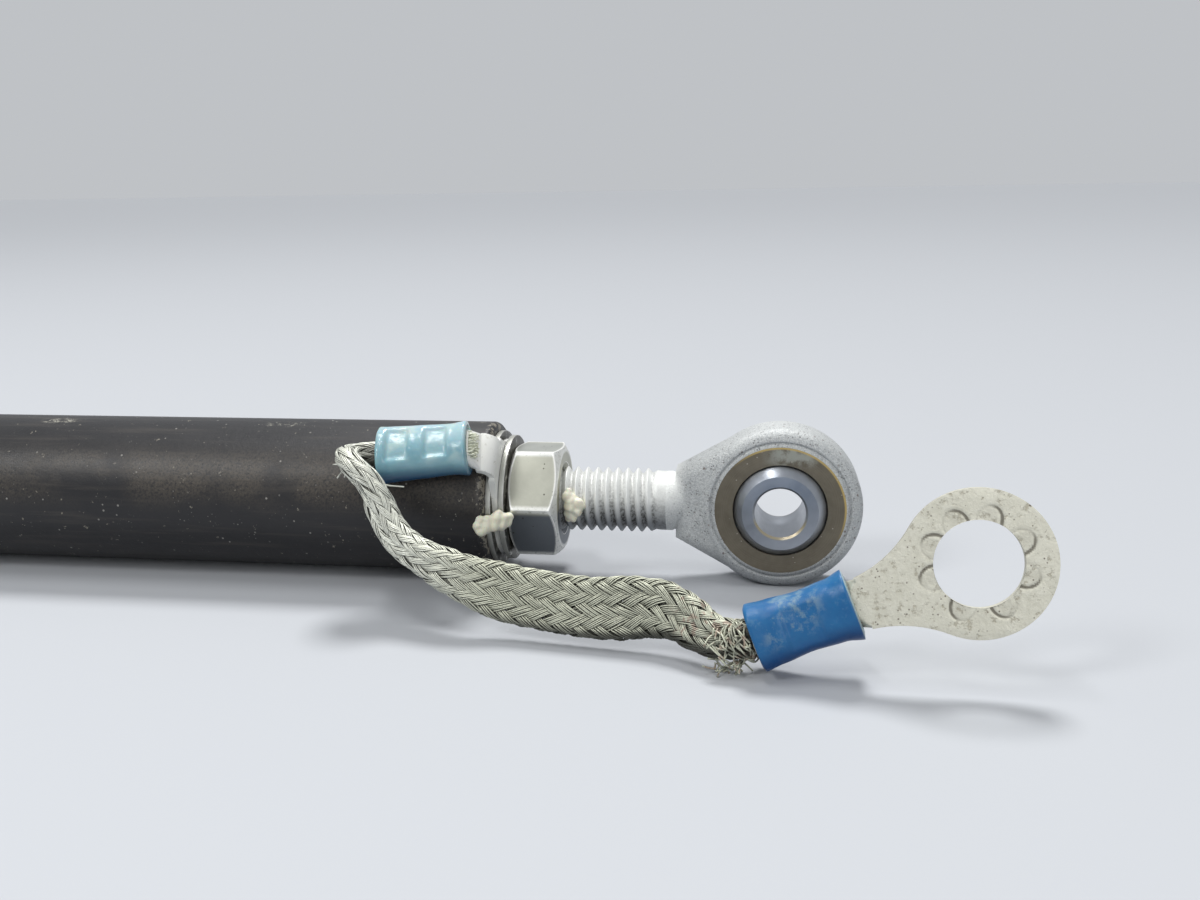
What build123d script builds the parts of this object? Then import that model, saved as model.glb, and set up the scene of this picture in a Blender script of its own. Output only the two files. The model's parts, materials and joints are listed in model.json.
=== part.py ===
from build123d import *
import os
from math import cos, pi, radians, sin, sqrt, tan

# Aileron control rod: a tube with a plug bonded into each end, and in each plug a rod end
# with a spherical bearing, locked by a jam nut. At the near end a short bonding braid is
# clamped under the nut by its ring terminal and carries a second ring terminal.
# Millimetres. The origin is the centre of the near ball, +X points out of the near end
# along the rod, the ball bores lie along Y, and +Z is up.

# The rod as a whole
centre_distance = 300.0
tube_end_reach = 34.7

# Tube and the plugs bonded into it
tube_diameter = 18.8
tube_wall = 1.25
tube_corner_radius = 0.9
plug_length = 24.0
bond_groove_depth = 0.3
bond_groove_width = 1.5
bond_groove_pitch = 7.0

# Rod end: eye, cheeks that flare to it, neck and shank
eye_radius = 9.75
eye_width = 6.75
eye_rim_fillet = 1.4
face_groove_width = 0.2
face_groove_depth = 0.12
cheek_width = 6.2
cheek_fillet = 1.6
cheek_root_distance = 12.5
cheek_root_height = 8.3
neck_radius = 3.65
neck_start = 15.0
neck_taper = 0.8
cone_start = 13.0
cone_end = 11.3
cone_tip_radius = 3.0
shank_radius = 3.95
shank_engagement = 16.0
shank_tip_chamfer = 0.8
thread_clearance = 0.06
stud_clearance = 0.25

# Spherical bearing
race_radius = 7.75
race_mouth_chamfer = 0.15
ball_radius = 6.35
ball_width = 9.0
ball_clearance = 0.07
bore_radius = 3.0
bore_chamfer = 0.25

# Jam nut and washers
nut_across_flats = 12.8
nut_thickness = 6.1
nut_rim_angle = 30.0
nut_rim_radius = 6.1
nut_corner_margin = 0.3
nut_turn = 33.6
nut_countersink = 0.5
washer_thickness = 0.75
inner_washer_inset = 1.1
outer_washer_radius = 7.75

# Ring terminals: the plate, then the crimped barrel in its copper grip and plastic sleeve
plate_thickness = 0.7
ring_radius = 7.25
plate_neck_width = 5.0
plate_neck_fillet = 12.0
barrel_core_width = 3.4
barrel_core_height = 2.2
barrel_wall = 0.6
barrel_inset = 3.2
barrel_setback = 0.3
grip_wall = 0.25
grip_inset = 1.6
grip_setback = 1.2
plate_lead = 0.8
core_proud = 0.6
corner_shrink = 0.01
sleeve_bell_width = 6.8
sleeve_bell_height = 5.5
sleeve_waist_width = 6.1
sleeve_waist_height = 4.7
sleeve_mouth_depth = 1.4
sleeve_mouth_flare = 0.35

# Where the clamped terminal stands: its tongue's angle above the horizontal, on the
# side that faces -Y, and how far its barrel is turned from the rod's own direction
rod_tongue_angle = 44.0
rod_barrel_skew = 7.0
rod_bend_radius = 1.2
rod_sleeve_length = 11.3
sleeve_to_tube_gap = 0.1

# Where the free terminal hangs: its ring centre, the way from barrel to ring, and
# how far its face leans up from vertical
free_ring_centre = Vector(18.1, -27.5, 2.7)
free_direction = Vector(0.927, 0.044, 0.3725).normalized()
free_lean = 12.0
free_neck_length = 12.2
free_sleeve_length = 10.4

# Bonding braid: its plain tube and the straight stretches beside its two ends
braid_tube_radius = 1.2
braid_inset = 1.8
braid_overlap = 0.4
braid_rod_lead = 2.8
braid_free_lead = 3.2
arc_share = 0.45

os.makedirs("parts", exist_ok=True)


def save(part, name):
    part.label = name
    export_step(part, f"parts/{name}.step")


# Derived places
tube_radius = tube_diameter / 2
tube_bore_radius = tube_radius - tube_wall
stud_hole_radius = shank_radius + stud_clearance
inner_washer_radius = tube_radius - inner_washer_inset
tube_length = centre_distance - 2 * tube_end_reach
tube_end_x = -tube_end_reach
rod_middle = Axis((-centre_distance / 2, 0, 0), (0, 0, 1))
shank_tip_x = tube_end_x - shank_engagement
race_half_width = eye_width / 2

barrel_width = barrel_core_width + 2 * barrel_wall
barrel_height = barrel_core_height + 2 * barrel_wall
grip_width = barrel_width + 2 * grip_wall
grip_height = barrel_height + 2 * grip_wall
plate_offset = (barrel_height - plate_thickness) / 2


def turned_to_far_end(part):
    with BuildPart() as turned:
        add(part.rotate(rod_middle, 180))
    return turned.part


# Tube, its ends turned square with a rounded outer corner
with BuildPart() as tube:
    with BuildSketch(Plane.XY) as tube_wall_section:
        with Locations((tube_end_x - tube_length / 2, tube_radius - tube_wall / 2)):
            Rectangle(tube_length, tube_wall)
        outer_corners = tube_wall_section.vertices().group_by(Axis.Y)[-1]
        fillet(outer_corners, radius=tube_corner_radius)
    revolve(axis=Axis.X)
save(tube.part, "tube")


# Plug bonded flush into the tube's end, grooved for the adhesive and bored for the shank
plug_bore_radius = shank_radius + thread_clearance
plug_middle_x = tube_end_x - plug_length / 2

with BuildPart() as near_plug:
    with BuildSketch(Plane.XY):
        with Locations((plug_middle_x, (tube_bore_radius + plug_bore_radius) / 2)):
            Rectangle(plug_length, tube_bore_radius - plug_bore_radius)
        with Locations((plug_middle_x, tube_bore_radius)):
            with GridLocations(bond_groove_pitch, 0, 2, 1):
                Rectangle(bond_groove_width, 2 * bond_groove_depth, mode=Mode.SUBTRACT)
    revolve(axis=Axis.X)
save(near_plug.part, "near_plug")
save(turned_to_far_end(near_plug.part), "far_plug")


# Rod end: one forging, with the eye, the cheeks that flare to it and the shank
with BuildPart() as near_rod_end:
    with BuildSketch(Plane.XZ) as cheek_outline:
        Circle(eye_radius)
        with Locations((-cheek_root_distance / 2, 0)):
            Rectangle(cheek_root_distance, cheek_root_height)
        make_hull()
    extrude(amount=cheek_width / 2, both=True)
    cheek_faces = near_rod_end.faces().filter_by(Axis.Y)
    fillet(cheek_faces.edges(), radius=cheek_fillet)
    with BuildSketch(Plane.XY) as eye_section:
        with Locations((eye_radius / 2, 0)):
            Rectangle(eye_radius, eye_width)
        rim_corners = eye_section.vertices().group_by(Axis.X)[-1]
        fillet(rim_corners, radius=eye_rim_fillet)
    revolve(axis=Axis.Y)
    # A fine groove parts the machined face round the race from the forged rim
    with BuildSketch(Plane.XY):
        with Locations((eye_radius - eye_rim_fillet - face_groove_width / 2, 0)):
            with GridLocations(0, eye_width, 1, 2):
                Rectangle(face_groove_width, 2 * face_groove_depth)
    revolve(axis=Axis.Y, mode=Mode.SUBTRACT)
    with BuildSketch(Plane.XY) as shank_section:
        with BuildLine():
            Polyline(
                (shank_tip_x, 0),
                (shank_tip_x, shank_radius - shank_tip_chamfer),
                (shank_tip_x + shank_tip_chamfer, shank_radius),
                (-neck_start, shank_radius),
                (-neck_start + neck_taper, neck_radius),
                (-cone_start, neck_radius),
                (-cone_end, cone_tip_radius),
                (-cone_end, 0),
                close=True,
            )
        make_face()
    revolve(axis=Axis.X)
    with BuildSketch(Plane.XZ):
        Circle(race_radius)
    extrude(amount=eye_width, both=True, mode=Mode.SUBTRACT)
save(near_rod_end.part, "near_rod_end")
save(turned_to_far_end(near_rod_end.part), "far_rod_end")


# Race pressed into the eye, hollow-ground round the ball
with BuildPart() as near_race:
    with BuildSketch(Plane.XZ):
        Circle(race_radius)
    extrude(amount=race_half_width, both=True)
    Sphere(ball_radius + ball_clearance, mode=Mode.SUBTRACT)
    mouth_edges = near_race.edges().filter_by(GeomType.CIRCLE).sort_by(SortBy.RADIUS)[:2]
    chamfer(mouth_edges, length=race_mouth_chamfer)
save(near_race.part, "near_race")
save(turned_to_far_end(near_race.part), "far_race")


# Ball, cut flat on both sides and bored for the bolt
with BuildPart() as near_ball:
    Sphere(ball_radius)
    with BuildSketch(Plane.XZ):
        Circle(ball_radius)
    extrude(amount=ball_width / 2, both=True, mode=Mode.INTERSECT)
    with BuildSketch(Plane.XZ):
        Circle(bore_radius)
    extrude(amount=ball_width, both=True, mode=Mode.SUBTRACT)
    bore_edges = near_ball.edges().filter_by(GeomType.CIRCLE).sort_by(SortBy.RADIUS)[:2]
    chamfer(bore_edges, length=bore_chamfer)
save(near_ball.part, "near_ball")
save(turned_to_far_end(near_ball.part), "far_ball")


def build_washer(seat_x, radius):
    with BuildPart() as washer:
        with BuildSketch(Plane.YZ.offset(seat_x)):
            Circle(radius)
            Circle(stud_hole_radius, mode=Mode.SUBTRACT)
        extrude(amount=washer_thickness)
    return washer.part


def build_jam_nut(seat_x):
    bore = shank_radius + thread_clearance
    corner_radius = nut_across_flats / sqrt(3)
    cone_radius = corner_radius + nut_corner_margin
    rim_drop = (cone_radius - nut_rim_radius) * tan(radians(nut_rim_angle))
    with BuildPart() as nut:
        with BuildSketch(Plane.YZ.offset(seat_x)):
            RegularPolygon(
                nut_across_flats / 2, 6, major_radius=False, rotation=150 - nut_turn
            )
            Circle(bore, mode=Mode.SUBTRACT)
        extrude(amount=nut_thickness)
        # Both faces are turned to a shallow cone that cuts the six corners back
        with BuildSketch(Plane.XY):
            with BuildLine():
                Polyline(
                    (seat_x, 0),
                    (seat_x, nut_rim_radius),
                    (seat_x + rim_drop, cone_radius),
                    (seat_x + nut_thickness - rim_drop, cone_radius),
                    (seat_x + nut_thickness, nut_rim_radius),
                    (seat_x + nut_thickness, 0),
                    close=True,
                )
            make_face()
        revolve(axis=Axis.X, mode=Mode.INTERSECT)
        bore_rims = nut.edges().filter_by(GeomType.CIRCLE).sort_by(SortBy.RADIUS)[:2]
        chamfer(bore_rims, length=nut_countersink)
    return nut.part


# The near stack on the tube's end: washer, clamped terminal, washer, jam nut
inner_washer_x = tube_end_x
terminal_x = inner_washer_x + washer_thickness
outer_washer_x = terminal_x + plate_thickness
near_nut_x = outer_washer_x + washer_thickness
save(build_washer(inner_washer_x, inner_washer_radius), "inner_washer")
save(build_washer(outer_washer_x, outer_washer_radius), "outer_washer")
save(build_jam_nut(near_nut_x), "near_jam_nut")
save(turned_to_far_end(build_jam_nut(tube_end_x)), "far_jam_nut")


def crimped_section(plane, width, height, shift=0.0):
    # A rectangle whose short sides are almost full rounds, as a crimping tool leaves it
    with BuildSketch(plane) as section:
        with Locations((0, shift)):
            RectangleRounded(width, height, min(width, height) / 2 - corner_shrink)
    return section.sketch


def ring_plate_outline(plane, neck_end):
    # The flat of a terminal: the ring, and a neck that runs along the plane's own +X
    with BuildSketch(plane) as outline:
        Circle(ring_radius)
        with Locations((plate_neck_fillet, 0)):
            Rectangle(2 * plate_neck_fillet, plate_neck_width)
        inner_corners = outline.vertices().sort_by(Axis.X)[:2]
        fillet(inner_corners, radius=plate_neck_fillet)
        Circle(stud_hole_radius, mode=Mode.SUBTRACT)
        with Locations((neck_end + 2 * ring_radius, 0)):
            Rectangle(4 * ring_radius, 4 * ring_radius, mode=Mode.SUBTRACT)
    return outline.sketch


def add_barrel(plane, sleeve_length, side, plate_overlap=0.0):
    # Barrel round the crimped strands, and the shoulder where it flattens into the plate
    barrel_end = sleeve_length - barrel_setback
    add(crimped_section(plane.offset(barrel_inset), barrel_width, barrel_height))
    extrude(amount=barrel_end - barrel_inset, dir=plane.z_dir)
    add(crimped_section(plane.offset(barrel_end), barrel_width, barrel_height))
    shoulder_end = plane.offset(sleeve_length + plate_lead + plate_overlap)
    add(crimped_section(shoulder_end, plate_neck_width, plate_thickness, side * plate_offset))
    loft()
    add(crimped_section(plane.offset(barrel_inset), barrel_core_width, barrel_core_height))
    core_length = barrel_end - barrel_inset + core_proud
    extrude(amount=core_length, dir=plane.z_dir, mode=Mode.SUBTRACT)


def build_grip(plane, sleeve_length):
    # Thin copper sleeve that grips the barrel inside the plastic one
    with BuildPart() as grip:
        add(crimped_section(plane.offset(grip_inset), grip_width, grip_height))
        extrude(amount=sleeve_length - grip_setback - grip_inset, dir=plane.z_dir)
        add(crimped_section(plane.offset(grip_inset), barrel_width, barrel_height))
        extrude(amount=sleeve_length, dir=plane.z_dir, mode=Mode.SUBTRACT)
    return grip.part


def build_sleeve(plane, sleeve_length, waists):
    # Plastic sleeve: a bell at each end, pinched at each bite of the crimping tool
    stations = 2 * waists
    with BuildPart() as sleeve:
        for index in range(stations + 1):
            width = sleeve_bell_width
            height = sleeve_bell_height
            if index % 2:
                width = sleeve_waist_width
                height = sleeve_waist_height
            elif 0 < index < stations:
                width = (sleeve_bell_width + sleeve_waist_width) / 2
                height = (sleeve_bell_height + sleeve_waist_height) / 2
            add(crimped_section(plane.offset(sleeve_length * index / stations), width, height))
        loft()
        add(crimped_section(plane, grip_width, grip_height))
        extrude(amount=sleeve_length, dir=plane.z_dir, mode=Mode.SUBTRACT)
        mouth_width = grip_width + 2 * sleeve_mouth_flare
        mouth_height = grip_height + 2 * sleeve_mouth_flare
        for mouth, throat in (
            (0, sleeve_mouth_depth),
            (sleeve_length, sleeve_length - sleeve_mouth_depth),
        ):
            add(crimped_section(plane.offset(mouth), mouth_width, mouth_height))
            add(crimped_section(plane.offset(throat), grip_width, grip_height))
            loft(mode=Mode.SUBTRACT)
    return sleeve.part


# The clamped terminal: its ring lies between the washers, its tongue stands up past the
# tube's edge, turns back over the tube, and its barrel lies along the tube
tongue_angle = radians(rod_tongue_angle)
skew = radians(rod_barrel_skew)
outward = Vector(0, -cos(tongue_angle), sin(tongue_angle))
around = Vector(0, sin(tongue_angle), cos(tongue_angle))
rod_direction = Vector(cos(skew), 0, 0) + around * sin(skew)
barrel_axis_radius = tube_radius + sleeve_bell_height / 2 + sleeve_to_tube_gap
bend_centre_radius = barrel_axis_radius - plate_offset - plate_thickness / 2 - rod_bend_radius
bend_centre = Vector(terminal_x - rod_bend_radius, 0, 0) + outward * bend_centre_radius
plate_middle_x = terminal_x + plate_thickness / 2
bend_end = Vector(terminal_x - rod_bend_radius, 0, 0) + outward * barrel_axis_radius
rod_cable_end = bend_end - rod_direction * (rod_sleeve_length + plate_lead)
rod_barrel_plane = Plane(rod_cable_end, x_dir=outward.cross(rod_direction), z_dir=rod_direction)
skew_overlap = plate_neck_width / 2 * tan(skew)

with BuildPart() as rod_terminal:
    ring_plane = Plane((plate_middle_x, 0, 0), x_dir=outward, z_dir=(1, 0, 0))
    add(ring_plate_outline(ring_plane, bend_centre_radius))
    extrude(amount=plate_thickness / 2, dir=ring_plane.z_dir, both=True)
    bend_start = Vector(plate_middle_x, 0, 0) + outward * bend_centre_radius
    with BuildSketch(Plane(bend_start, x_dir=around, z_dir=outward)):
        Rectangle(plate_neck_width, plate_thickness)
    revolve(axis=Axis(bend_centre, -around), revolution_arc=90)
    add_barrel(rod_barrel_plane, rod_sleeve_length, -1, skew_overlap)
save(rod_terminal.part, "rod_terminal")
save(build_grip(rod_barrel_plane, rod_sleeve_length), "rod_terminal_grip")
save(build_sleeve(rod_barrel_plane, rod_sleeve_length, 2), "rod_terminal_sleeve")


# The free terminal: the same plate left flat, its near face flush with the barrel
free_side = free_direction.cross(Vector(0, 0, 1)).normalized()
free_up = free_side.cross(free_direction)
free_face = free_side * cos(radians(free_lean)) + free_up * sin(radians(free_lean))
free_reach = free_neck_length + free_sleeve_length
free_cable_end = free_ring_centre - free_direction * free_reach - free_face * plate_offset
free_barrel_plane = Plane(
    free_cable_end, x_dir=free_face.cross(free_direction), z_dir=free_direction
)

with BuildPart() as free_terminal:
    ring_plane = Plane(free_ring_centre, x_dir=-free_direction, z_dir=free_face)
    add(ring_plate_outline(ring_plane, free_neck_length - plate_lead))
    extrude(amount=plate_thickness / 2, dir=ring_plane.z_dir, both=True)
    add_barrel(free_barrel_plane, free_sleeve_length, 1)
save(free_terminal.part, "free_terminal")
save(build_grip(free_barrel_plane, free_sleeve_length), "free_terminal_grip")
save(build_sleeve(free_barrel_plane, free_sleeve_length, 1), "free_terminal_sleeve")


# Bonding braid: crimped flat in both barrels, and between them one plain round tube that
# folds back beside the clamped terminal, drops over the tube and runs out in front
tube_inset = braid_inset + braid_overlap
braid_route = [
    rod_cable_end + rod_direction * tube_inset,
    rod_cable_end - rod_direction * braid_rod_lead,
    Vector(-49.1, -13.9, 7.9),
    Vector(-45.9, -14.9, 5.5),
    Vector(-44.6, -15.6, 2.2),
    Vector(-42.6, -16.8, -0.5),
    Vector(-39.1, -18.5, -1.9),
    Vector(-34.6, -20.1, -3.4),
    Vector(-29.7, -20.3, -4.9),
    Vector(-24.7, -21.1, -5.4),
    Vector(-19.0, -22.0, -5.7),
    Vector(-11.4, -22.6, -4.7),
    free_cable_end - free_direction * braid_free_lead,
    free_cable_end + free_direction * tube_inset,
]


def corner_radii(points):
    # The largest arc at each corner that leaves its two runs a straight middle
    radii = []
    for before, corner, after in zip(points, points[1:], points[2:]):
        run_in = corner - before
        run_out = after - corner
        half_turn = radians(run_in.get_angle(run_out)) / 2
        radii.append(arc_share * min(run_in.length, run_out.length) / tan(half_turn))
    return radii


braid_radii = corner_radii(braid_route)

with BuildLine() as braid_line:
    FilletPolyline(*braid_route, radius=braid_radii)

with BuildPart() as bonding_braid:
    with BuildSketch(Plane(braid_route[0], z_dir=braid_route[1] - braid_route[0])):
        Circle(braid_tube_radius)
    sweep(path=braid_line.wires()[0])
    tube_volume = bonding_braid.part.volume
    for plane, sleeve_length in (
        (rod_barrel_plane, rod_sleeve_length),
        (free_barrel_plane, free_sleeve_length),
    ):
        add(crimped_section(plane.offset(braid_inset), barrel_core_width, barrel_core_height))
        core_length = sleeve_length - barrel_setback + core_proud - braid_inset
        extrude(amount=core_length, dir=plane.z_dir)
save(bonding_braid.part, "bonding_braid")

braid_length = braid_line.wires()[0].length
print("braid radii", [round(radius, 1) for radius in braid_radii])
print("braid length", round(braid_length, 1))
print("tube volume / section x length", tube_volume / (pi * braid_tube_radius**2 * braid_length))
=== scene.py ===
import json
import random
from math import cos, pi, radians, sin, sqrt, tan

import bmesh
import bpy
from mathutils import Matrix, Vector, kdtree, noise


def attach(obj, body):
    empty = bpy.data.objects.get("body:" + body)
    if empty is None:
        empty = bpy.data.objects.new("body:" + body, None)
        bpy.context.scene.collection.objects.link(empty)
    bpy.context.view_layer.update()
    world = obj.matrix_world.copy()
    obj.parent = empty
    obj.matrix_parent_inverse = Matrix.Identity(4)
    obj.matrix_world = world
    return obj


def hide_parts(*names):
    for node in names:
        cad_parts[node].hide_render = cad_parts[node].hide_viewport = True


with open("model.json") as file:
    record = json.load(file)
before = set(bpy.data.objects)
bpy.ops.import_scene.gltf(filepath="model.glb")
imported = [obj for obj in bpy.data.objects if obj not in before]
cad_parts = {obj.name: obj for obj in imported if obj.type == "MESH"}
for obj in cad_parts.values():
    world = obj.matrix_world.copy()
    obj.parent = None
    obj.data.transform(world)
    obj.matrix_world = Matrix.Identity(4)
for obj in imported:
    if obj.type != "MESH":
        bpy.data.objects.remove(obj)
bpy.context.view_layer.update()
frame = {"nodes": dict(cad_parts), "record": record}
nodes = frame["nodes"]

# Lengths are in millimetres, and MM turns them into Blender's metres
MM = 0.001

# The camera stands where the photograph was taken
camera_place = Vector((-2.9, -129.89, 38.71))
camera_yaw = radians(-8.34)
camera_pitch = radians(13.9)
camera_roll = radians(-0.97)
camera_lens = 33.0
camera_sensor = 36.0

# How strongly the world lights the object, and how bright it looks itself
fill_strength = 0.25
shown_strength = 0.58

# Sizes of the rod that the pieces and finishes below are built to
rod_middle_x = -150.0
tube_radius = 9.4
tube_end_x = -34.7
far_tube_end_x = 2 * rod_middle_x - tube_end_x
washer_thickness = 0.75
plate_thickness = 0.7
nut_start_x = -32.5
nut_end_x = -26.4
nut_corner_radius = 7.39
nut_rim_radius = 6.1
nut_rim_angle = radians(30.0)
eye_radius = 9.75
race_radius = 7.75
ball_half_width = 4.5
bore_radius = 3.0

# Where the tube's end, the washers, the clamped terminal and the nut meet
stack_seats = (
    tube_end_x,
    tube_end_x + washer_thickness,
    tube_end_x + washer_thickness + plate_thickness,
    nut_start_x,
)

# The thread: the flats of its ridge are shares of the pitch, and it fades into the neck
thread_pitch = 1.25
thread_crest_radius = 3.95
thread_root_radius = 3.3
root_flat = 0.07
crest_flat = 0.06
crest_drop = 0.03
thread_steps = 40
thread_fade_start = -16.3
thread_fade_end = -14.3
neck_radius = 3.64
head_cut_x = -13.6
shank_end_x = -13.2
shank_tip_x = -50.7

# The two crimped barrels, each with its own axes, worked out as the rod's maker sets them
barrel_height = 3.4
sleeve_height = 5.5
sleeve_gap = 0.1
tongue_angle = radians(44.0)
barrel_skew = radians(7.0)
bend_radius = 1.2
plate_lead = 0.8
clamped_sleeve_length = 11.3
free_sleeve_length = 10.4
free_neck_length = 12.2
free_direction = Vector((0.927, 0.044, 0.3725)).normalized()
free_lean = radians(12.0)
ring_centre = Vector((18.1, -27.5, 2.7))
ring_hole_radius = 4.2

# The sleeves' skin: a grid of columns round them and rows along, most rows on the outside
sleeve_wall = 0.75
sleeve_lip = 0.25
sleeve_columns = 72
sleeve_rows = 90
outer_rows = 0.6

# The braid: half of its bundles wind each way round it
bundles_each_way = 12
wires_per_bundle = 5
wire_radius = 0.094
bundle_fill = 0.94
weave_lift = 0.16
bundle_crown = 0.10
bundle_stray = 0.30
wire_samples = 150
route_steps = 24
cord_steps = 12
inside_crimp = 2.2
clamped_lead = 2.8
free_lead = 3.2

# Where the braid's wires are painted darker, from and to, as shares of the braid's length: painted shade
# in the fold's hollow and on its underside, and darker further along and at the free mouth
fold_shade = (0.055, 0.09)
underside_shade = (0.42, 0.56)
later_darkening = (0.45, 0.85)
mouth_darkening = (0.91, 0.97)

# Loose wires: a tangle round the free barrel, ends that hang under it, and ends by the fold
tangled_wires = 85
tangled_steps = 8
hanging_wires = 26
fold_wires = 26

# The strand ends that stand out of each barrel
strand_rows = 9
strand_columns = 14
strand_spacing = 0.235
strand_root = 1.5

# The marks round the hole of the free ring: their angles in the photograph and their size
mark_angles = (121.0, 79.0, 31.0, -12.0, -58.0, -108.0, -160.0, 160.0)
mark_width = 2.3
mark_height = 1.45
mark_depth = 0.12

# The ring's face is cut into small squares for the marks, with more cuts towards its neck
face_cut = 0.17
ring_cuts = 36
neck_cuts = 66

# The skin of the lacquer: bumps to the millimetre, their height and the grid that fuses its drops
lump_grain = 1.3
lump_height = 0.16
lump_grid = 0.11


class Wire:
    """A value in a node tree. Arithmetic on it adds the nodes that work it out."""

    def __init__(self, wiring, socket):
        self.wiring = wiring
        self.socket = socket

    def __add__(self, other):
        return self.wiring.math("ADD", self, other)

    def __sub__(self, other):
        return self.wiring.math("SUBTRACT", self, other)

    def __mul__(self, other):
        return self.wiring.math("MULTIPLY", self, other)

    def __truediv__(self, other):
        return self.wiring.math("DIVIDE", self, other)

    def __rsub__(self, other):
        return self.wiring.math("SUBTRACT", other, self)

    __radd__ = __add__
    __rmul__ = __mul__


class Wiring:
    """Short ways to add nodes to the node tree of a material or of the world."""

    def __init__(self, tree):
        self.tree = tree

    def node(self, kind, settings=None, output=0, **inputs):
        made = self.tree.nodes.new(kind)
        for name, value in (settings or {}).items():
            setattr(made, name, value)
        for name, value in inputs.items():
            self.feed(made.inputs[name.replace("_", " ")], value)
        return Wire(self, made.outputs[output])

    def feed(self, socket, value):
        if isinstance(value, Wire):
            self.tree.links.new(value.socket, socket)
        elif socket.type == "RGBA":
            socket.default_value = (*value, 1.0)
        else:
            socket.default_value = value

    def math(self, operation, *values):
        made = self.tree.nodes.new("ShaderNodeMath")
        made.operation = operation
        for socket, value in zip(made.inputs, values):
            self.feed(socket, value)
        return Wire(self, made.outputs[0])

    def seen(self):
        """1 for what the camera sees, also mirrored or through glass, and 0 for other light."""
        camera, glossy, through = (
            self.node("ShaderNodeLightPath", output=f"Is {ray} Ray")
            for ray in ("Camera", "Glossy", "Transmission")
        )
        return self.math("MAXIMUM", self.math("MAXIMUM", camera, glossy), through)


class Finish(Wiring):
    """A material with one Principled shader, and the nodes that feed it."""

    def __init__(self, name, roughness=0.5, metallic=0.0, **sockets):
        self.material = bpy.data.materials.new(name)
        self.material.use_nodes = True
        super().__init__(self.material.node_tree)
        self.shader = self.tree.nodes["Principled BSDF"]
        self.set("Roughness", roughness)
        self.set("Metallic", metallic)
        for socket, value in sockets.items():
            self.set(socket.replace("_", " "), value)
        self.place = self.node("ShaderNodeTexCoord", output="Object")

    def set(self, name, value):
        self.feed(self.shader.inputs[name], value)

    def step(self, value, low, high):
        """0 below low, 1 above high, and smooth between."""
        return self.node(
            "ShaderNodeMapRange",
            {"interpolation_type": "SMOOTHSTEP"},
            **{"Value": value, "From_Min": low, "From_Max": high},
        )

    def mix(self, factor, first, second):
        """A colour between two, by factor."""
        made = self.tree.nodes.new("ShaderNodeMix")
        made.data_type = "RGBA"
        self.feed(made.inputs[0], factor)
        self.feed(made.inputs[6], first)
        self.feed(made.inputs[7], second)
        return Wire(self, made.outputs[2])

    def paint(self, shade, *layers):
        """The colour: a shade, and over it layers of (mask, colour) in turn."""
        for mask, colour in layers:
            shade = self.mix(mask, shade, colour)
        self.set("Base Color", shade)

    def attribute(self, name):
        """What the mesh keeps under that name for each of its points."""
        return self.node("ShaderNodeAttribute", {"attribute_name": name}, "Fac")

    def stretched(self, scale):
        """The place on the piece, scaled by itself along X, Y and Z."""
        return self.node("ShaderNodeMapping", Vector=self.place, Scale=scale)

    def noise(self, size, detail=2.0, roughness=0.5, place=None):
        """Soft noise with lumps of about that size in millimetres."""
        return self.node(
            "ShaderNodeTexNoise",
            Vector=place or self.place,
            Scale=1 / (size * MM),
            Detail=detail,
            Roughness=roughness,
        )

    def specks(self, spacing, share):
        """1 inside small round specks, spacing millimetres apart and share of that in radius."""
        gap = self.node(
            "ShaderNodeTexVoronoi",
            output="Distance",
            Vector=self.place,
            Scale=1 / (spacing * MM),
        )
        return 1 - self.step(gap, share * 0.5, share)

    def bump(self, height, depth, strength=1.0):
        """A bump whose full height is depth millimetres."""
        self.set(
            "Normal",
            self.node("ShaderNodeBump", Strength=strength, Distance=depth * MM, Height=height),
        )

    def axes(self):
        """The place on the piece along X, Y and Z, in millimetres."""
        split = self.tree.nodes.new("ShaderNodeSeparateXYZ")
        self.feed(split.inputs[0], self.place)
        return [Wire(self, socket) / MM for socket in split.outputs]

    def radius(self, across, up):
        """How far a place is from the axis that across and up are measured from."""
        return self.math("SQRT", across * across + up * up)

    def off(self, value, middle):
        """How far a value is from middle, either way."""
        return self.math("ABSOLUTE", value - middle)

    def ends_alike(self, along):
        """A place along the rod, with the far half folded onto the near one."""
        return self.off(along, rod_middle_x) + rod_middle_x

    def joint_grime_and_shade(self):
        """Grime and painted shade in the joints between the tube's end, the washers, the terminal and
        the nut.
        """
        along = self.axes()[0]
        grime = 0.0
        for seat in stack_seats:
            grime = 1 - self.step(self.off(along, seat), 0.06, 0.14) + grime
        return grime * self.step(self.noise(0.9, 3.0, 0.6), 0.30, 0.45)


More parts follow.
